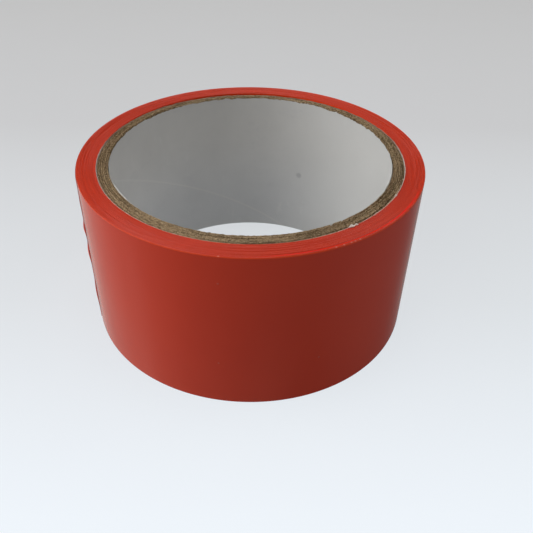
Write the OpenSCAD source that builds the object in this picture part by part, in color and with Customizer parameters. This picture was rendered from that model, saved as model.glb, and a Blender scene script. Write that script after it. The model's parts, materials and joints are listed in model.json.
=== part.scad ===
// Roll of smooth glossy film tape, wound on a paper core.
// Origin: centre of the bottom end face, on the roll's axis. +Z runs along the axis.
// The film is wound anticlockwise seen from above, so its cut end points that way.
// Its last stretch peels off the roll as a chain of short pieces, each hinged on the
// outer edge of the piece before it.

/* [Film] */
// Width of the film, which is the height of the winding
tape_w = 48; // [24:1:100]
// Thickness of one turn of film with its adhesive
film_t = 0.1; // [0.05:0.01:0.3]
// Number of turns of film on the core
turns = 53; // [10:1:300]

/* [Free end] */
// Direction of the film's cut end, in degrees anticlockwise from +X
end_angle = 197; // [0:1:359]
// Arc of the last turn that peels off the roll, in degrees
tail_arc = 60; // [30:5:120]
// Number of hinged pieces along the peeling film
tail_pieces = 10; // [4:1:20]
// Gap left by the loosened adhesive under the peeling film
tail_lift = 0.04; // [0.03:0.01:0.1]

/* [Core] */
// Diameter of the hole through the core
bore_d = 77; // [25:0.5:160]
// Thickness of the smooth white paper lining the hole
inner_liner_t = 0.25; // [0.1:0.05:0.6]
// Number of brown paper plies in the core's wall
plies = 6; // [2:1:12]
// Thickness of one brown paper ply
ply_t = 0.5; // [0.3:0.05:1]
// Thickness of the white paper round the outside of the core
outer_liner_t = 0.25; // [0.1:0.05:0.6]
// Height that the cut pushed the core's inner edge above the film
cut_rise = 0.4; // [0:0.05:0.8]
// Depth of the core's outer edge below the film
cut_drop = 0.25; // [0:0.05:0.8]

/* [Hidden] */
bore_r = bore_d / 2;
ply_start_r = bore_r + inner_liner_t;
ply_end_r = ply_start_r + plies * ply_t;
core_r = ply_end_r + outer_liner_t;
// Radius of the turns below the last one, just past the film's cut end
under_r = core_r + (turns - 2) * film_t;
// The winding grows by one film thickness a turn. Its outline is two half circles:
// the second one is centred half a thickness towards the cut end.
half_step = film_t / 2;
tail_step = tail_arc / tail_pieces;
tail_start = 360 - tail_arc;
FILM_RED = [0.68, 0.2, 0.15];
FILM_RED_END = [0.72, 0.22, 0.17];
KRAFT = [0.47, 0.39, 0.29];
LINER_WHITE = [0.86, 0.86, 0.85];
OUTER_LINER = [0.8, 0.72, 0.68];
$fn = 180;

// Height of the core's cut face at radius r: it slopes down from the hole outwards
function cut_z(r) = tape_w + cut_rise - (cut_rise + cut_drop) * (r - bore_r) / (core_r - bore_r);

// One paper tube of the core, from the bottom end face up to the sloping cut
module paper_tube(r_in, wall_t) {
  r_out = r_in + wall_t;
  rotate_extrude()
    polygon([[r_in, 0], [r_out, 0], [r_out, cut_z(r_out)], [r_in, cut_z(r_in)]]);
}

module core_inner_liner() {
  color(LINER_WHITE) paper_tube(bore_r, inner_liner_t);
}

module core_ply(i) {
  color(KRAFT) paper_tube(ply_start_r + (i - 1) * ply_t, ply_t);
}

module core_outer_liner() {
  color(OUTER_LINER) paper_tube(ply_end_r, outer_liner_t);
}

// Turned so that its own +X axis points at the film's cut end
module at_cut_end() {
  rotate([0, 0, end_angle]) children();
}

// Film bent to radius r_in, between two angles counted from the cut end
module bent_film(r_in, from, to) {
  rotate([0, 0, from])
    rotate_extrude(angle = to - from)
      translate([r_in, 0]) square([film_t, tape_w]);
}

// Half of a round log, on the side of positive y
module half_log(r) {
  rotate_extrude(angle = 180) square([r, tape_w]);
}

// All the turns that lie under the last one
module tape_winding() {
  color(FILM_RED_END) at_cut_end() difference() {
    union() {
      half_log(under_r);
      translate([half_step, 0, 0]) rotate([0, 0, 180]) half_log(under_r + half_step);
    }
    translate([0, 0, -1]) cylinder(r = core_r, h = tape_w + 2);
  }
}

// The last turn, as far as the film is stuck down
module tape_last_turn() {
  color(FILM_RED) at_cut_end() union() {
    bent_film(under_r, 0, 180);
    translate([half_step, 0, 0]) bent_film(under_r + half_step, 180, tail_start);
  }
}

// One piece of the peeling film, counted from where it leaves the roll
module tape_tail(k) {
  color(FILM_RED) at_cut_end()
    translate([half_step, 0, 0])
      bent_film(under_r + half_step + tail_lift, tail_start + (k - 1) * tail_step, tail_start + k * tail_step);
}

core_inner_liner();
for (i = [1 : plies]) core_ply(i);
core_outer_liner();
tape_winding();
tape_last_turn();
for (k = [1 : tail_pieces]) tape_tail(k);
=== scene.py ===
"""Looks of the roll of glossy film tape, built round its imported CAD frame.

Lengths are in metres. Angles round the roll are in degrees, anticlockwise from +X,
and "past the end" means measured anticlockwise from the film's cut end.
"""

import json
import math

import bmesh
import bpy
import numpy as np
from mathutils import Matrix, Vector


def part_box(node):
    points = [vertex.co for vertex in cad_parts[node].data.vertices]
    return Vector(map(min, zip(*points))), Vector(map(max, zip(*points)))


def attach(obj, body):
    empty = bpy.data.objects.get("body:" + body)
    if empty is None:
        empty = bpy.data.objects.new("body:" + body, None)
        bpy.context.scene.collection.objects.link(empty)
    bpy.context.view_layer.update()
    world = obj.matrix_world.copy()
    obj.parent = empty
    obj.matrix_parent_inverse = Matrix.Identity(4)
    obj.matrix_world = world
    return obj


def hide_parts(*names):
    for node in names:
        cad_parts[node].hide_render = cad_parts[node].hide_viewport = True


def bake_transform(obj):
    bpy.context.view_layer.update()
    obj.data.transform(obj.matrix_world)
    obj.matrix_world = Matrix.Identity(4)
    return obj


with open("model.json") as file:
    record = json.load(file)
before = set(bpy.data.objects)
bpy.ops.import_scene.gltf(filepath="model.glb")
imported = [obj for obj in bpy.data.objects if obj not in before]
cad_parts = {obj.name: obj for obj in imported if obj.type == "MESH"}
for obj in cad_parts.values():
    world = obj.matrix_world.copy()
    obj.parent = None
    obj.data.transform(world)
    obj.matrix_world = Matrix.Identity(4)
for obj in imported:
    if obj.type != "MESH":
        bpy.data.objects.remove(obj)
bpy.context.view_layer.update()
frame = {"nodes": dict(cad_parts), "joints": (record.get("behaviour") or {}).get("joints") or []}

MM = 0.001


# ---------------------------------------------------------------- sizes from the frame


def radii(node):
    """Smallest and largest distance of a CAD node's points from the roll's axis."""
    points = np.array([v.co for v in frame["nodes"][node].data.vertices])
    r = np.hypot(points[:, 0], points[:, 1])
    return float(r.min()), float(r.max())


def node_names(start):
    """The CAD nodes whose names begin like this, in the order of their numbers."""
    found = [n for n in frame["nodes"] if n.startswith(start)]
    return sorted(found, key=lambda n: int(n.rsplit("_", 1)[1]))


PLIES = node_names("core_ply_")
TAIL = node_names("tape_tail_")
HINGES = [Vector(j["pos_m"]) for j in frame["joints"]]
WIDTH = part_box("tape_winding")[1].z
BORE_R = radii("core_inner_liner")[0]
CORE_R = radii("core_outer_liner")[1]
CUT_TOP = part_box("core_inner_liner")[1].z
CUT_LOW = WIDTH - (CUT_TOP - WIDTH) * 0.6
UNDER_R = radii("tape_last_turn")[0]
FILM_T = radii("tape_winding")[1] - UNDER_R
HALF_STEP = FILM_T / 2
TURNS = round((UNDER_R - CORE_R) / FILM_T)
PLY_T = radii(PLIES[0])[1] - radii(PLIES[0])[0]


def heading(point):
    """Direction of a point seen from the roll's axis, in degrees from 0 to 360."""
    return math.degrees(math.atan2(point.y, point.x)) % 360


TAIL_STEP = heading(HINGES[1]) - heading(HINGES[0])
CUT_END = heading(HINGES[-1]) + TAIL_STEP
TAIL_START = 360 - TAIL_STEP * len(TAIL)
STEP_CENTRE = HALF_STEP * Vector((math.cos(math.radians(CUT_END)), math.sin(math.radians(CUT_END)), 0))
TAIL_OUTER_R = (HINGES[0] - STEP_CENTRE).xy.length
TAIL_LIFT = TAIL_OUTER_R - FILM_T - UNDER_R - HALF_STEP


def turn_r(past_end):
    """Inner radius of the last turn: it is a half circle round the axis, then one off it."""
    a = np.radians(past_end)
    second = HALF_STEP * np.cos(a) + np.sqrt((UNDER_R + HALF_STEP) ** 2 - (HALF_STEP * np.sin(a)) ** 2)
    return np.where(np.asarray(past_end) <= 180, UNDER_R, second)


# ---------------------------------------------------------------- noise and mesh helpers


def smooth_noise(x, seed, cells):
    """Smooth noise from -1 to 1 along x, which repeats after that many cells."""
    table = np.random.default_rng(seed).uniform(-1, 1, cells)
    low = np.floor(x).astype(int)
    t = x - low
    t = t * t * (3 - 2 * t)
    return table[low % cells] * (1 - t) + table[(low + 1) % cells] * t


def round_noise(degrees, seed, cells):
    """Smooth noise round the roll, with that many cells in a full turn."""
    return smooth_noise(np.asarray(degrees) % 360 / 360 * cells, seed, cells)


def window(degrees, middle, half_width):
    """1 in the middle of a stretch round the roll, and falling smoothly to 0 at its ends."""
    off = np.abs((np.asarray(degrees) - middle + 180) % 360 - 180) / half_width
    return np.clip(1 - off * off, 0, 1) ** 2


def smooth_step(x):
    t = np.clip(x, 0, 1)
    return t * t * (3 - 2 * t)


def at(r, degrees, z):
    """Points at these radii, directions and heights, with x, y, z in the last place."""
    a = np.radians(degrees)
    return np.stack(np.broadcast_arrays(r * np.cos(a), r * np.sin(a), z), axis=-1)


def piece_from(name, points, faces, materials, crease=35):
    """A smooth-shaded mesh with sharp edges where it turns by more than crease degrees."""
    mesh = bpy.data.meshes.new(name)
    mesh.from_pydata(np.asarray(points).reshape(-1, 3).tolist(), [], faces)
    tidy = bmesh.new()
    tidy.from_mesh(mesh)
    bmesh.ops.recalc_face_normals(tidy, faces=tidy.faces)
    tidy.to_mesh(mesh)
    tidy.free()
    mesh.polygons.foreach_set("use_smooth", [True] * len(mesh.polygons))
    mesh.set_sharp_from_angle(angle=math.radians(crease))
    for material in materials:
        mesh.materials.append(material)
    piece = bpy.data.objects.new(name, mesh)
    bpy.context.scene.collection.objects.link(piece)
    return piece


def swept(sections, closed):
    """Faces that join closed outlines, one after another; open ends are capped."""
    count, around = sections.shape[:2]
    faces = []
    for i in range(count if closed else count - 1):
        a, b = i * around, (i + 1) % count * around
        for j in range(around):
            k = (j + 1) % around
            faces.append((a + j, a + k, b + k, b + j))
    if not closed:
        faces.append(tuple(range(around)))
        faces.append(tuple((count - 1) * around + j for j in reversed(range(around))))
    return faces


def paint_faces(piece, choose):
    """Gives each face the material slot that choose(centre, normal) names."""
    for face in piece.data.polygons:
        face.material_index = choose(face.center, face.normal)


# ---------------------------------------------------------------- node helpers


class Nodes:
    """A material's node tree with short ways to add and join nodes."""

    def __init__(self, name):
        self.material = bpy.data.materials.new(name)
        self.material.use_nodes = True
        self.tree = self.material.node_tree
        self.shader = self.tree.nodes["Principled BSDF"]
        self.place = self.add("ShaderNodeTexCoord").outputs["Object"]

    def add(self, kind, **settings):
        node = self.tree.nodes.new(kind)
        for key, value in settings.items():
            setattr(node, key, value)
        return node

    def join(self, source, target):
        if isinstance(source, bpy.types.NodeSocket):
            self.tree.links.new(source, target)
        else:
            target.default_value = source

    def math(self, operation, *values, clamp=False):
        node = self.add("ShaderNodeMath", operation=operation, use_clamp=clamp)
        for socket, value in zip(node.inputs, values):
            self.join(value, socket)
        return node.outputs[0]

    def axes(self):
        """The x, y and z of the place on the surface."""
        split = self.add("ShaderNodeSeparateXYZ")
        self.join(self.place, split.inputs[0])
        return tuple(split.outputs)

    def radius(self):
        """Distance from the roll's axis."""
        x, y, _ = self.axes()
        return self.math("SQRT", self.math("ADD", self.math("MULTIPLY", x, x), self.math("MULTIPLY", y, y)))

    def heading(self):
        """Angle round the roll, in radians."""
        x, y, _ = self.axes()
        return self.math("ARCTAN2", y, x)

    def polar(self, r_scale, turn_scale, z_scale):
        """A vector of radius, angle and height, each times its scale, for grain that runs round the roll."""
        r, turn, z = self.radius(), self.heading(), self.axes()[2]
        out = self.add("ShaderNodeCombineXYZ")
        for value, scale, socket in zip((r, turn, z), (r_scale, turn_scale, z_scale), out.inputs):
            self.join(self.math("MULTIPLY", value, scale), socket)
        return out.outputs[0]

    def noise(self, vector, scale, detail=2.0, roughness=0.5):
        node = self.add("ShaderNodeTexNoise")
        self.join(vector, node.inputs["Vector"])
        node.inputs["Scale"].default_value = scale
        node.inputs["Detail"].default_value = detail
        node.inputs["Roughness"].default_value = roughness
        return node.outputs[0]

    def ramp(self, value, *stops):
        """A colour ramp through (position, colour) stops."""
        node = self.add("ShaderNodeValToRGB")
        self.join(value, node.inputs[0])
        while len(node.color_ramp.elements) < len(stops):
            node.color_ramp.elements.new(0.5)
        for element, (position, colour) in zip(node.color_ramp.elements, stops):
            element.position = position
            element.color = (*colour, 1)
        return node.outputs[0]

    def remap(self, value, from_low, from_high, to_low, to_high):
        node = self.add("ShaderNodeMapRange", interpolation_type="SMOOTHSTEP")
        for socket, given in zip(node.inputs, (value, from_low, from_high, to_low, to_high)):
            self.join(given, socket)
        return node.outputs[0]

    def blend(self, share, first, second, mode="MIX"):
        node = self.add("ShaderNodeMix", data_type="RGBA", blend_type=mode)
        self.join(share, node.inputs["Factor"])
        for value, socket in ((first, node.inputs[6]), (second, node.inputs[7])):
            self.join((*value, 1) if isinstance(value, tuple) else value, socket)
        return node.outputs[2]

    def near(self, point, radius):
        """1 at a point and 0 beyond that radius from it."""
        node = self.add("ShaderNodeVectorMath", operation="DISTANCE")
        self.join(self.place, node.inputs[0])
        node.inputs[1].default_value = point
        return self.remap(node.outputs["Value"], radius * 0.4, radius, 1.0, 0.0)

    def bump(self, height, depth, below=None):
        """Raises the surface by height times depth, in metres, on top of another bump."""
        node = self.add("ShaderNodeBump")
        node.inputs["Distance"].default_value = depth
        node.inputs["Strength"].default_value = 1.0
        self.join(height, node.inputs["Height"])
        if below:
            self.join(below, node.inputs["Normal"])
        return node.outputs[0]

    def finish(self, colour, roughness, normal=None, **settings):
        self.join(colour, self.shader.inputs["Base Color"])
        self.join(roughness, self.shader.inputs["Roughness"])
        if normal:
            self.join(normal, self.shader.inputs["Normal"])
        for key, value in settings.items():
            self.shader.inputs[key.replace("_", " ")].default_value = value
        return self.material


# ---------------------------------------------------------------- materials

# Specks trapped under the last turn: direction and height
SPECKS = [(261.4, 40.3 * MM), (260.8, 14.3 * MM), (292.5, 13.8 * MM)]
SPECK_R = 0.38 * MM
# Directions of pale dust on the rim of the upper end face
RIM_DUST = [294.6, 297.1, 299.6, 300.9, 302.6, 261.7]
# The lining is a strip wound as a helix: where its joint crosses the middle of the roll, and its climb
SEAM_HEADING = 138.0
SEAM_LEAD = 131 * MM
# A groove in the upper end face, painted a brighter, deeper red as painted light on its sunk turns: how far inside the
# rim, and the direction where it is deepest
GROOVE_IN, GROOVE_HEADING = 0.6 * MM, 306.0
# Where the lining is painted palest, as painted light on the side of the hole that faces the lamps at the left
LIT_HEADING = 15.0
# A dark smudge on the lining: direction and height
SMUDGE = (65.0, 22 * MM)


def film_face():
    """The smooth glossy outer face of the red film."""
    n = Nodes("film_face")
    broad = n.noise(n.place, 18, 3)
    colour = n.ramp(broad, (0.3, (0.75, 0.036, 0.004)), (0.7, (0.82, 0.047, 0.006)))
    specks = 0.0
    for direction, height in SPECKS:
        point = at(UNDER_R + FILM_T, direction, height)
        specks = n.math("MAXIMUM", specks, n.near(tuple(point), SPECK_R))
    colour = n.blend(n.math("MULTIPLY", specks, 0.35), colour, (0.75, 0.16, 0.1))
    # painted highlight: the top 0.4 mm of the film's face is painted brighter red, for the bright line along the rim
    rim = n.remap(n.axes()[2], WIDTH - 0.42 * MM, WIDTH - 0.2 * MM, 0.0, 0.8)
    colour = n.blend(rim, colour, (0.97, 0.075, 0.014))
    gloss = n.remap(n.noise(n.place, 60, 4, 0.6), 0.3, 0.75, 0.16, 0.24)
    wave = n.bump(n.noise(n.polar(0, 2.0, 25), 1.0, 2), 0.25 * MM)
    peel = n.bump(n.noise(n.place, 900, 3), 0.004 * MM, wave)
    lump = n.bump(specks, 0.05 * MM, peel)
    return n.finish(colour, gloss, lump, IOR=1.5)


def film_edge():
    """The cut edges of all the turns, side by side, on the roll's end faces."""
    n = Nodes("film_edge")
    turn_lines = n.noise(n.polar(1 / FILM_T, 2.5, 0), 1.0, 3, 0.7)
    groups = n.noise(n.polar(0.17 / FILM_T, 1.6, 0), 1.0, 3, 0.65)
    grain = n.noise(n.place, 3400, 3, 0.6)
    tone = n.math("ADD", n.math("MULTIPLY", turn_lines, 0.35), n.math("MULTIPLY", groups, 0.65))
    colour = n.ramp(tone, (0.36, (0.56, 0.028, 0.004)), (0.5, (0.605, 0.034, 0.006)), (0.64, (0.66, 0.043, 0.010)))
    # painted highlight: pale pink flecks at the grain's peaks are painted glints; the grain also roughens the surface
    colour = n.blend(n.remap(grain, 0.66, 0.8, 0.0, 0.5), colour, (0.72, 0.12, 0.06))
    # painted highlight: the outermost turns' edges are painted brighter orange-red, for the bright line along the rim
    rim = n.remap(n.radius(), UNDER_R - 0.4 * MM, UNDER_R - 0.15 * MM, 0.0, 0.5)
    colour = n.blend(rim, colour, (0.84, 0.07, 0.016))
    # painted light: a brighter, deeper red band along the groove stands in for how its sunk turns are lit
    off_groove = n.math("ABSOLUTE", n.math("SUBTRACT", n.radius(), UNDER_R - GROOVE_IN))
    groove = n.remap(off_groove, 0.12 * MM, 0.36 * MM, 1.0, 0.0)
    here = n.remap(n.math("COSINE", n.math("SUBTRACT", n.heading(), math.radians(GROOVE_HEADING))), 0.8, 0.95, 0.0, 0.9)
    colour = n.blend(n.math("MULTIPLY", groove, here), colour, (0.93, 0.010, 0.001))
    dust = 0.0
    for direction in RIM_DUST:
        dust = n.math("MAXIMUM", dust, n.near(tuple(at(UNDER_R - 0.05 * MM, direction, WIDTH)), 0.36 * MM))
    colour = n.blend(n.math("MULTIPLY", dust, 0.6), colour, (0.9, 0.42, 0.3))
    gloss = n.remap(grain, 0.3, 0.7, 0.36, 0.5)
    lines = n.bump(groups, 0.02 * MM, n.bump(turn_lines, 0.02 * MM))
    rough = n.bump(grain, 0.02 * MM, lines)
    return n.finish(colour, gloss, rough, IOR=1.41)


def film_end():
    """The film beside its cut end, dulled where it was stretched and torn off."""
    n = Nodes("film_end")
    creases = n.noise(n.place, 420, 3, 0.6)
    colour = n.ramp(creases, (0.35, (0.72, 0.034, 0.008)), (0.65, (0.80, 0.05, 0.014)))
    return n.finish(colour, n.remap(creases, 0.3, 0.7, 0.42, 0.6), n.bump(creases, 0.03 * MM), IOR=1.45)


def film_glue():
    """The inner face of the film, dulled by its clear adhesive."""
    n = Nodes("film_glue")
    patches = n.noise(n.place, 120, 3, 0.5)
    colour = n.ramp(patches, (0.3, (0.64, 0.055, 0.022)), (0.7, (0.70, 0.075, 0.035)))
    gloss = n.remap(patches, 0.3, 0.7, 0.26, 0.36)
    return n.finish(colour, gloss, n.bump(patches, 0.03 * MM), IOR=1.47)


def kraft():
    """Brown paper, seen on its cut edge: fibres run round the core, and pale bits stand out of it."""
    n = Nodes("kraft_paper")
    fibres = n.noise(n.polar(4200, 40, 500), 1.0, 5, 0.72)
    layers = n.noise(n.polar(1 / PLY_T, 3, 0), 1.0, 2, 0.6)
    dots = n.noise(n.place, 2600, 4, 0.75)
    pit_shade = n.noise(n.place, 2100, 4, 0.75)
    tone = n.math("ADD", n.math("MULTIPLY", fibres, 0.6), n.math("MULTIPLY", layers, 0.4))
    colour = n.ramp(tone, (0.43, (0.115, 0.07, 0.031)), (0.5, (0.27, 0.178, 0.09)), (0.57, (0.48, 0.35, 0.205)))
    colour = n.blend(n.remap(dots, 0.53, 0.62, 0.0, 0.9), colour, (0.62, 0.465, 0.285))
    # painted shade: near-black specks where the paper's pits lie in shadow
    colour = n.blend(n.remap(pit_shade, 0.475, 0.385, 0.0, 0.92), colour, (0.035, 0.02, 0.008))
    # painted light: the paper is painted paler towards the front left, where more light falls on the ply ends
    lit_front_left = n.remap(n.math("COSINE", n.math("SUBTRACT", n.heading(), math.radians(258))), 0.35, 0.95, 0.0, 0.2)
    colour = n.blend(lit_front_left, colour, (0.62, 0.465, 0.285))
    fuzz = n.bump(dots, 0.12 * MM, n.bump(fibres, 0.12 * MM))
    return n.finish(colour, 0.92, fuzz, Specular_IOR_Level=0.2)


def lining():
    """Smooth coated white paper inside the core, with the faint joint of its helical strip."""
    n = Nodes("core_lining")
    turn, z = n.heading(), n.axes()[2]
    seam_z = n.math("MULTIPLY", n.math("SUBTRACT", turn, math.radians(SEAM_HEADING)), SEAM_LEAD / math.tau)
    off = n.math("ABSOLUTE", n.math("SUBTRACT", z, n.math("ADD", seam_z, WIDTH / 2)))
    seam = n.remap(off, 0.15 * MM, 0.6 * MM, 1.0, 0.0)
    cloud = n.noise(n.place, 55, 4, 0.55)
    smudge = n.noise(n.polar(0, 3.0, 130), 1.0, 4, 0.7)
    rub = n.noise(n.polar(0, 9.0, 60), 1.0, 5, 0.7)
    # painted light: the lining is painted cooler and a little darker low down and warmer higher up, for bluish light
    # from below and warm lamps above
    low = n.ramp(cloud, (0.3, (0.63, 0.642, 0.66)), (0.7, (0.69, 0.70, 0.715)))
    high = n.ramp(cloud, (0.3, (0.67, 0.66, 0.64)), (0.7, (0.73, 0.72, 0.70)))
    colour = n.blend(n.remap(z, 0.1 * WIDTH, 0.9 * WIDTH, 0.0, 1.0), low, high)
    colour = n.blend(n.remap(smudge, 0.56, 0.8, 0.0, 0.3), colour, (0.54, 0.545, 0.56))
    colour = n.blend(n.remap(rub, 0.58, 0.75, 0.0, 0.35), colour, (0.80, 0.80, 0.79))
    # painted light: the lining is painted paler on the side of the hole that faces the lamps at the left
    pale = n.remap(n.math("COSINE", n.math("SUBTRACT", turn, math.radians(LIT_HEADING))), 0.4, 1.0, 0.0, 0.5)
    colour = n.blend(pale, colour, (0.85, 0.85, 0.83))
    spot = n.near(tuple(at(BORE_R, *SMUDGE)), 1.3 * MM)
    colour = n.blend(n.math("MULTIPLY", spot, 0.45), colour, (0.36, 0.365, 0.39))
    colour = n.blend(n.math("MULTIPLY", seam, 0.3), colour, (0.80, 0.795, 0.77))
    gloss = n.remap(cloud, 0.3, 0.7, 0.4, 0.52)
    paper = n.bump(n.noise(n.place, 700, 4), 0.012 * MM)
    return n.finish(colour, gloss, paper)


def wrap_paper():
    """Thin white paper round the core, torn along its cut edge, with painted shade: darker brown except towards the
    left and right.
    """
    n = Nodes("core_wrap")
    fibres = n.noise(n.polar(3000, 50, 900), 1.0, 4, 0.7)
    # painted shade: the paper is painted darker brown, least towards the left and right, where it shows white
    right = n.math("COSINE", n.math("SUBTRACT", n.heading(), math.radians(325)))
    left = n.math("COSINE", n.math("SUBTRACT", n.heading(), math.radians(217)))
    shade_front_back = n.remap(n.math("MAXIMUM", right, left), 0.6, 0.92, 0.85, 0.25)
    colour = n.ramp(fibres, (0.35, (0.62, 0.53, 0.45)), (0.5, (0.82, 0.76, 0.69)), (0.62, (0.90, 0.88, 0.84)))
    colour = n.blend(shade_front_back, colour, (0.30, 0.15, 0.085))
    return n.finish(colour, 0.85, n.bump(fibres, 0.04 * MM), Specular_IOR_Level=0.25)


FILM_FACE = film_face()
FILM_EDGE = film_edge()
FILM_GLUE = film_glue()
FILM_END = film_end()
KRAFT = kraft()
LINING = lining()
WRAP = wrap_paper()


# ---------------------------------------------------------------- core


def cut_height(r):
    """Height of the core's cut face: it falls from the hole outwards."""
    share = (r - BORE_R) / (CORE_R - BORE_R)
    return CUT_TOP + (CUT_LOW - CUT_TOP) * share


def ring_of(name, node, outline, count, materials):
    """A closed ring that replaces a CAD node. outline(directions) gives its outline at each direction."""
    directions = np.arange(count) * 360 / count
    sections = outline(directions)
    ring = piece_from(name, sections, swept(sections, True), materials)
    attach(ring, "roll")
    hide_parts(node)
    return ring


# Each ply stands a little above or below the clean cut, from the hole outwards
PLY_STEP = [-0.10, -0.03, -0.16, -0.06, 0.02, -0.12]
# Notches in a ply's cut edge: which ply, direction, half width in degrees and depth in mm
NICKS = [(1, 299.6, 0.9, 0.5), (1, 304.2, 0.7, 0.4), (6, 272.0, 0.8, 1.2), (6, 236.5, 0.5, 0.5), (5, 214.0, 0.9, 0.4)]


def paper_ply(index, node):
    """One brown ply. Its cut ends are crowned and ragged, with a dark groove at each side."""
    inner, outer = radii(node)
    gap = 0.015 * MM
    shares = np.array([0.0, 0.12, 0.26, 0.42, 0.58, 0.74, 0.88, 1.0])
    crown = np.array([-0.34, -0.13, -0.03, 0.0, 0.0, -0.03, -0.13, -0.34]) * MM
    rough = np.array([0.5, 0.9, 1.0, 1.0, 1.0, 1.0, 0.9, 0.5])

    def cut_end(directions, seed):
        """Relief of one cut end, as far as it stands above or below the clean cut."""
        relief = np.zeros((len(directions), len(shares)))
        for k in range(len(shares)):
            own = round_noise(directions, seed + k, 900) * 0.06
            shared = round_noise(directions, seed + 50 + k // 3, 330) * 0.045
            relief[:, k] = crown[k] + rough[k] * (own + shared) * MM
        torn = np.clip(round_noise(directions, seed + 90, 140) - 0.5, 0, 1)
        nicks = sum((window(directions, d, w) * h for ply, d, w, h in NICKS if ply == index), torn * 0.2)
        nicks = nicks + window(directions, 90, 80) * 0.04 * index
        return relief + (PLY_STEP[index - 1] - nicks[:, None]) * MM

    def outline(directions):
        radius = inner + gap + shares * (outer - inner - 2 * gap)
        wobble = round_noise(directions, 7 * index, 420)[:, None] * 0.02 * MM
        r = radius[None, :] + wobble
        top = np.minimum(cut_height(radius)[None, :] + cut_end(directions, 1000 * index), CUT_TOP)
        bottom = np.clip(-cut_end(directions, 1000 * index + 500), 0, None)
        ups = at(r, directions[:, None], top)
        downs = at(r, directions[:, None], bottom)[:, ::-1]
        return np.concatenate([ups, downs], axis=1)

    return ring_of(f"kraft_ply_{index}", node, outline, 1080, [KRAFT])


def core_lining_tube():
    """The white lining: its wall steps a little where its strip laps, and its ragged top edge shows at the left."""
    inner, outer = radii("core_inner_liner")
    rows = 60
    lap = 0.05 * MM

    def outline(directions):
        heights = np.linspace(0, 1, rows)[None, :]
        burr = round_noise(directions, 11, 620) * 0.14 + round_noise(directions, 12, 130) * 0.16
        shown = window(directions, 213, 15) * 0.55 + window(directions, 188, 22) * 0.15
        top = CUT_TOP + np.minimum(burr + shown - 0.55, 0)[:, None] * MM
        feather = (0.6 - np.clip(shown + burr * 0.5, 0, 0.55))[:, None] * MM
        z = heights * top
        turn = (directions - SEAM_HEADING + 180) % 360 - 180
        seam_z = WIDTH / 2 + turn[:, None] / 360 * SEAM_LEAD
        r = inner + lap * smooth_step((seam_z - z) / (0.9 * MM))
        wall = at(r, directions[:, None], z)
        lip = at(outer - 0.02 * MM, directions[:, None], top - feather)
        foot = at(outer - 0.02 * MM, directions[:, None], 0.0 * top)
        return np.concatenate([wall, lip, foot], axis=1)

    return ring_of("core_lining_tube", "core_inner_liner", outline, 900, [LINING])


# Torn bits of the outer paper that stand up: direction, half width in degrees and height in mm
FLECKS = [
    (304.9, 1.5, 0.42),
    (306.9, 1.0, 0.3),
    (331.0, 1.1, 0.15),
]


def core_wrap_tube():
    """The thin white paper round the core: torn bits of it stand up and lean over the film."""
    inner, outer = radii("core_outer_liner")

    def outline(directions):
        burr = (round_noise(directions, 21, 800) * 0.07 + round_noise(directions, 22, 150) * 0.08) * MM
        fleck = sum(window(directions, d, w) * h for d, w, h in FLECKS) * MM
        dip = window(directions, 90, 95) * 0.5 * MM
        top = np.minimum(WIDTH - 0.02 * MM + burr + fleck - dip, CUT_TOP)[:, None]
        lean = (fleck * 1.6)[:, None]
        turn = directions[:, None]
        return np.concatenate(
            [
                at(inner + 0.01 * MM, turn, 0 * top),
                at(inner + 0.01 * MM, turn, WIDTH - 0.8 * MM + 0 * top),
                at(inner + 0.05 * MM - lean * 0.3, turn, top - 0.05 * MM),
                at(outer - 0.06 * MM + lean, turn, top),
                at(outer - 0.01 * MM, turn, WIDTH - 0.8 * MM + 0 * top),
                at(outer - 0.01 * MM, turn, 0 * top),
            ],
            axis=1,
        )

    return ring_of("core_wrap_tube", "core_outer_liner", outline, 960, [WRAP])


# ---------------------------------------------------------------- film


def end_relief(turns_along, seed):
    """How far each turn's edge stands out of the end face. turns_along counts turns along the film."""
    slow = smooth_noise(turns_along / 5, seed, 64) * 0.01
    middling = smooth_noise(turns_along * 4, seed + 1, 512) * 0.011
    quick = smooth_noise(turns_along * 30, seed + 2, 2048) * 0.012
    return (slow + middling + quick) * MM


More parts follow.
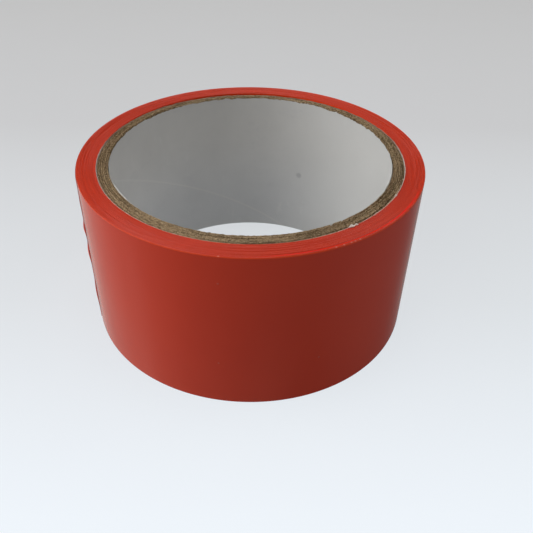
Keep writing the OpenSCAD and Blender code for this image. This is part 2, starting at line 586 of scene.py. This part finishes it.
def winding():
    """All the hidden turns as one spiral: each turn's cut edge is a low ridge on the end faces."""
    columns, per_turn = 480, 2
    closing = 0.06
    past = np.linspace(0, 360 - closing, columns)
    lap = (turn_r(past) - UNDER_R) / FILM_T
    lap[0], lap[-1] = 0.0, 1.0
    steps = np.arange(TURNS * per_turn + 1) / per_turn
    seat = 0.02 * MM
    r = CORE_R + seat + (steps[None, :] + lap[:, None]) * FILM_T
    r[:, -1] -= seat + 0.02 * MM
    along = steps[None, :] + past[:, None] / 360
    direction = (CUT_END + past)[:, None]
    groove = np.where(steps % 1 == 0, -0.028 * MM, 0.0)[None, :]
    from_outside = TURNS - steps[None, :]
    proud = 0.12 * MM * window(direction, 305, 40) * (from_outside < 5)
    sunk = 0.16 * MM * window(direction, 305, 36) * ((from_outside >= 5) & (from_outside < 8))
    telescoped = proud - sunk
    top = WIDTH - 0.03 * MM + end_relief(along, 31) + groove + telescoped
    bottom = np.clip(0.05 * MM - end_relief(along, 41) - groove, 0, None)
    wall_top = np.full((columns, 1), WIDTH)
    points = np.concatenate(
        [
            at(CORE_R, direction, wall_top),
            at(r, direction, top),
            at(r, direction, bottom)[:, ::-1],
            at(CORE_R, direction, 0 * wall_top),
        ],
        axis=1,
    )
    around, last = points.shape[1], steps.size
    faces = []
    for i in range(columns - 1):
        a, b = i * around, (i + 1) * around
        faces += [(a + j, a + (j + 1) % around, b + (j + 1) % around, b + j) for j in range(around)]
    # the strip that closes the spiral joins each turn to the next one out
    a, b = (columns - 1) * around, 0
    faces.append((a, a + 1, b + 3, b + 2, b + 1, b))
    faces += [(a + j, a + j + 1, b + j + 3, b + j + 2) for j in range(1, last - 2)]
    faces.append((a + last - 2, a + last - 1, a + last, b + last))
    low = around - 1
    faces.append((a + low, a + low - 1, b + low - 3, b + low - 2, b + low - 1, b + low))
    faces += [(a + low - j, a + low - j - 1, b + low - j - 3, b + low - j - 2) for j in range(1, last - 2)]
    faces.append((a + low - last + 2, a + low - last + 1, a + low - last, b + low - last))
    faces.append((a + last, a + last + 1, b + last + 1, b + last))
    faces.append((a + low, a, b, b + low))
    roll = piece_from("film_winding", points, faces, [FILM_EDGE, FILM_FACE])
    paint_faces(roll, lambda centre, normal: 0 if abs(normal.z) > 0.5 else 1)
    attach(roll, "roll")
    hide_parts("tape_winding")
    return roll


# The film's cut edges are rounded off: how far each row is from the edge, and how far it is drawn in
EDGE_ROWS = np.array([0.0, 0.03, 0.08, 0.17, 0.3]) * MM
EDGE_DRAWN = np.array([0.85, 0.5, 0.24, 0.07, 0.0]) * FILM_T


def film_heights(rows):
    """Heights of the rows up a strip of film, closer together at its edges."""
    inner = np.linspace(0, WIDTH, rows)
    return np.concatenate([EDGE_ROWS, inner[1:-1], WIDTH - EDGE_ROWS[::-1]])


def film_strip(name, past, inner_r, thickness, rows):
    """A strip of film bent round the roll. past and inner_r are arrays over the strip's length and height."""
    heights = film_heights(rows)
    direction = CUT_END + past
    z = np.broadcast_to(heights[None, :], direction.shape)
    rim = np.zeros(len(heights))
    rim[: len(EDGE_DRAWN)] = EDGE_DRAWN
    rim[-len(EDGE_DRAWN) :] = EDGE_DRAWN[::-1]
    outside = at(inner_r + thickness - rim[None, :], direction, z)
    inside = at(inner_r + 0 * rim[None, :], direction, z)[:, ::-1]
    sections = np.concatenate([outside, inside], axis=1)
    strip = piece_from(name, sections, swept(sections, False), [FILM_FACE, FILM_EDGE, FILM_GLUE], crease=40)

    def side(centre, normal):
        if abs(normal.z) > 0.7:
            return 1
        outward = normal.x * centre.x + normal.y * centre.y
        return 0 if outward > 0.5 * centre.xy.length else 2 if outward < -0.5 * centre.xy.length else 1

    paint_faces(strip, side)
    return strip


def last_turn():
    """The last turn as far as it is stuck down. It sinks a hair where air lies under it."""
    rows = 26
    heights = film_heights(rows)
    past = np.linspace(0, TAIL_START, 901)[:, None] + 0 * heights[None, :]
    ease = smooth_step(past / 6) * smooth_step((TAIL_START - past) / 6)
    slack = smooth_noise(past / 17, 61, 32) * np.sin(heights / WIDTH * math.pi)[None, :]
    sink = 0.012 * MM * ease * (1 - slack) / 2
    strip = film_strip("film_last_turn", past, turn_r(past) - sink, FILM_T, rows)
    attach(strip, "roll")
    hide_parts("tape_last_turn")
    return strip


# Waves beside the film's cut end: middle height, half its spread and how far each stands off the roll
WAVES = [
    (31.4 * MM, 3.0 * MM, 0.42 * MM),
    (23.2 * MM, 4.6 * MM, 0.40 * MM),
    (8.5 * MM, 7 * MM, 0.3 * MM),
    (40 * MM, 4 * MM, 0.12 * MM),
]
# In degrees: how long the film takes to rise to its crest, and how far the crest is from the cut end
WAVE_RUN, WAVE_CREST = 8.0, 2.7


def tail_shape(past, heights):
    """Inner radius of the peeling film: it rides on its loosened adhesive, and is wavy beside its cut end."""
    a = np.radians(past)
    seat = UNDER_R + HALF_STEP + TAIL_LIFT
    r = HALF_STEP * np.cos(a) + np.sqrt(seat**2 - (HALF_STEP * np.sin(a)) ** 2)
    crest = 360 - WAVE_CREST
    swell = smooth_step((past - crest + WAVE_RUN) / WAVE_RUN) * (1 - 0.9 * smooth_step((past - crest) / WAVE_CREST))
    rise = sum(h * np.clip(1 - ((heights - z) / w) ** 2, 0, 1) ** 2 for z, w, h in WAVES)
    return r + swell * rise[None, :]


def tail():
    """The peeling end, as strips of film: each but the last spans one hinge, and the last rides on the tail's last
    body.
    """
    rows, columns = 65, 21
    heights = film_heights(rows)
    hinge_past = [TAIL_START + k * TAIL_STEP for k in range(len(TAIL))]
    edges = [TAIL_START] + [h + TAIL_STEP / 2 for h in hinge_past] + [360.0]
    bodies = ["roll"] + [f"tail_{k + 1}" for k in range(len(TAIL))]
    pieces = []
    for k in range(len(edges) - 1):
        past = np.linspace(edges[k], edges[k + 1], columns)[:, None] + 0 * heights[None, :]
        if k == len(TAIL):
            ragged = smooth_noise(heights / (2.2 * MM), 71, 32) * 0.16
            ragged = ragged + smooth_noise(heights / (0.7 * MM), 72, 96) * 0.05
            past = past + (past - edges[k]) / (edges[k + 1] - edges[k]) * (ragged[None, :] - 0.2)
        strip = film_strip(f"film_tail_{k + 1}", past, tail_shape(past, heights), FILM_T, rows)
        if k == len(TAIL):
            strip.data.materials[0] = FILM_END
        if k < len(TAIL):
            a, b = CUT_END + edges[k], CUT_END + edges[k + 1]
            start = at(TAIL_OUTER_R, a, WIDTH / 2) + np.array(STEP_CENTRE)
            stop = at(TAIL_OUTER_R, b, WIDTH / 2) + np.array(STEP_CENTRE)
            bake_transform(strip)
            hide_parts(TAIL[k])
        else:
            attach(strip, bodies[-1])
            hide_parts(TAIL[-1])
        pieces.append(strip)
    return pieces


for number, ply_node in enumerate(PLIES, start=1):
    paper_ply(number, ply_node)
core_lining_tube()
core_wrap_tube()
winding()
last_turn()
tail()


# ---------------------------------------------------------------- floor, light and camera

FLOOR_GLOW = 0.9


def floor():
    """A pale floor and a dome round it. Both glow, and only the camera sees them: they catch and cast no shadow."""
    n = Nodes("pale_floor")
    split = n.add("ShaderNodeSeparateXYZ")
    n.join(n.place, split.inputs[0])
    depth = n.add("ShaderNodeMapRange")
    for socket, given in zip(depth.inputs, (split.outputs[1], -0.09, 0.33, 0.0, 1.0)):
        n.join(given, socket)
    glow = n.ramp(
        depth.outputs[0],
        (0.0, (0.88, 0.94, 1.0)),
        (0.2, (0.73, 0.765, 0.795)),
        (0.5, (0.57, 0.575, 0.585)),
        (1.0, (0.52, 0.52, 0.52)),
    )
    n.join(glow, n.shader.inputs["Emission Color"])
    n.shader.inputs["Emission Strength"].default_value = FLOOR_GLOW
    paint = n.blend(n.noise(n.place, 40, 3), (0.11, 0.11, 0.11), (0.12, 0.12, 0.12))
    side = 3.0
    corners = [(-side, -side, 0), (side, -side, 0), (side, side, 0), (-side, side, 0)]
    material = n.finish(paint, 1.0, Specular_IOR_Level=0.0)
    plane = piece_from("floor", np.array(corners) - np.array([0, 0, 0.02 * MM]), [(0, 1, 2, 3)], [material])
    turns, levels = 64, np.radians(np.linspace(-4, 88, 24))
    rings = np.stack([at(side * math.cos(e), np.arange(turns) * 360 / turns, side * math.sin(e)) for e in levels])
    dome = piece_from("backdrop", rings, swept(rings, False)[:-2], [material])
    for thing in (plane, dome):
        thing.visible_glossy = False
        thing.visible_diffuse = False
        thing.visible_shadow = False


# The world below eye level, which lights the film and is mirrored in it: share of a turn from -X round by -Y, and its
# light. Fitted to the tones that the film shows from the camera's own angle.
BELOW = [
    (0.0, (0.54, 0.535, 0.51)),
    (0.06, (0.40, 0.395, 0.375)),
    (0.14, (0.34, 0.335, 0.32)),
    (0.25, (0.27, 0.27, 0.265)),
    (0.42, (0.27, 0.27, 0.265)),
    (0.60, (0.153, 0.152, 0.15)),
    (0.72, (0.388, 0.385, 0.375)),
    (0.82, (0.58, 0.575, 0.55)),
    (0.92, (0.47, 0.465, 0.44)),
]


# The world above eye level
ABOVE = (0.01, 0.01, 0.01)


def studio():
    """A grey world that lights the roll and is mirrored in it. Its lower half varies round the roll, as BELOW says."""
    world = bpy.data.worlds.new("studio")
    bpy.context.scene.world = world
    world.use_nodes = True
    tree = world.node_tree
    tree.nodes.clear()

    def add(kind, **settings):
        node = tree.nodes.new(kind)
        for key, value in settings.items():
            setattr(node, key, value)
        return node

    def math_node(operation, *values):
        node = add("ShaderNodeMath", operation=operation)
        for socket, value in zip(node.inputs, values):
            if isinstance(value, bpy.types.NodeSocket):
                tree.links.new(value, socket)
            else:
                socket.default_value = value
        return node.outputs[0]

    split = add("ShaderNodeSeparateXYZ")
    tree.links.new(add("ShaderNodeTexCoord").outputs["Generated"], split.inputs[0])
    x, y, z = split.outputs
    turn = math_node("ARCTAN2", y, x)
    share = math_node("FRACT", math_node("ADD", math_node("DIVIDE", turn, math.tau), 0.5))
    ramp = add("ShaderNodeValToRGB")
    ramp.color_ramp.interpolation = "EASE"
    while len(ramp.color_ramp.elements) < len(BELOW):
        ramp.color_ramp.elements.new(0.5)
    for element, (position, colour) in zip(ramp.color_ramp.elements, BELOW):
        element.position = position
        element.color = (*colour, 1)
    tree.links.new(share, ramp.inputs[0])
    above = add("ShaderNodeRGB")
    above.outputs[0].default_value = (*ABOVE, 1)

    def ranged(value, from_low, from_high, to_low, to_high):
        node = add("ShaderNodeMapRange")
        tree.links.new(value, node.inputs[0])
        for socket, given in zip(list(node.inputs)[1:5], (from_low, from_high, to_low, to_high)):
            socket.default_value = given
        return node.outputs[0]

    both = add("ShaderNodeMix", data_type="RGBA")
    tree.links.new(ranged(z, -0.05, 0.05, 0.0, 1.0), both.inputs["Factor"])
    tree.links.new(ramp.outputs[0], both.inputs[6])
    tree.links.new(above.outputs[0], both.inputs[7])
    # towards the right and steeply down, the world is dimmer
    to_right = ranged(x, 0.15, 0.5, 0.0, 1.0)
    steep = ranged(z, -0.6, -0.8, 0.0, 0.6)
    dim = add("ShaderNodeMix", data_type="RGBA")
    tree.links.new(math_node("MULTIPLY", to_right, steep), dim.inputs["Factor"])
    tree.links.new(both.outputs[2], dim.inputs[6])
    dim.inputs[7].default_value = (0.0, 0.0, 0.0, 1)
    background = add("ShaderNodeBackground")
    tree.links.new(dim.outputs[2], background.inputs["Color"])
    tree.links.new(background.outputs[0], add("ShaderNodeOutputWorld").inputs["Surface"])
    return world


# Soft boxes: name, azimuth and elevation in degrees, size in metres and power in watts
LAMP_DISTANCE = 0.7
LAMPS = [
    ("key_left", 185, 25, 0.5, 1.57),
    ("upper_left", 174, 48, 0.5, 0.5),
    ("front_left", 215, 45, 0.5, 1.23),
    ("right", 0, 45, 0.5, 1.33),
    ("top", 90, 86, 0.25, 0.87),
    ("back", 90, 35, 0.4, 0.46),
]


def soft_light(name, azimuth, elevation, size, power):
    """A square soft box that faces the roll from that direction."""
    data = bpy.data.lights.new(name, "AREA")
    data.shape = "SQUARE"
    data.size = size
    data.energy = power
    lamp = bpy.data.objects.new(name, data)
    bpy.context.scene.collection.objects.link(lamp)
    a, e = math.radians(azimuth), math.radians(elevation)
    middle = Vector((0, 0, WIDTH / 2))
    lamp.location = middle + LAMP_DISTANCE * Vector((math.cos(e) * math.cos(a), math.cos(e) * math.sin(a), math.sin(e)))
    lamp.rotation_euler = (middle - lamp.location).to_track_quat("-Z", "Y").to_euler()
    return lamp


# The camera, fitted to the outlines of the photographed roll
ELEVATION, ROLL = 39.72, 0.582
DISTANCE = 170.19 * MM
AIM = Vector((0.85 * MM, -28.92 * MM, WIDTH / 2))
LENS, SHIFT_X, SHIFT_Y = 43.43, 0.0262, 0.0428


def camera():
    """Looks along +Y and down at the roll, from close by."""
    elevation, roll = math.radians(ELEVATION), math.radians(ROLL)
    forward = Vector((0, math.cos(elevation), -math.sin(elevation)))
    right = Vector((1, 0, 0))
    up = right.cross(forward)
    turned_right = math.cos(roll) * right + math.sin(roll) * up
    turned_up = math.cos(roll) * up - math.sin(roll) * right
    data = bpy.data.cameras.new("camera")
    data.sensor_width = 36
    data.lens = LENS
    data.shift_x = SHIFT_X
    data.shift_y = SHIFT_Y
    data.clip_start = 0.01
    data.clip_end = 20
    view = bpy.data.objects.new("camera", data)
    bpy.context.scene.collection.objects.link(view)
    turn = Matrix((turned_right, turned_up, -forward)).transposed().to_4x4()
    view.matrix_world = Matrix.Translation(AIM - forward * DISTANCE) @ turn
    bpy.context.scene.camera = view
    return view


floor()
studio()
for lamp_values in LAMPS:
    soft_light(*lamp_values)
camera()
bpy.context.scene.view_settings.view_transform = "Standard"
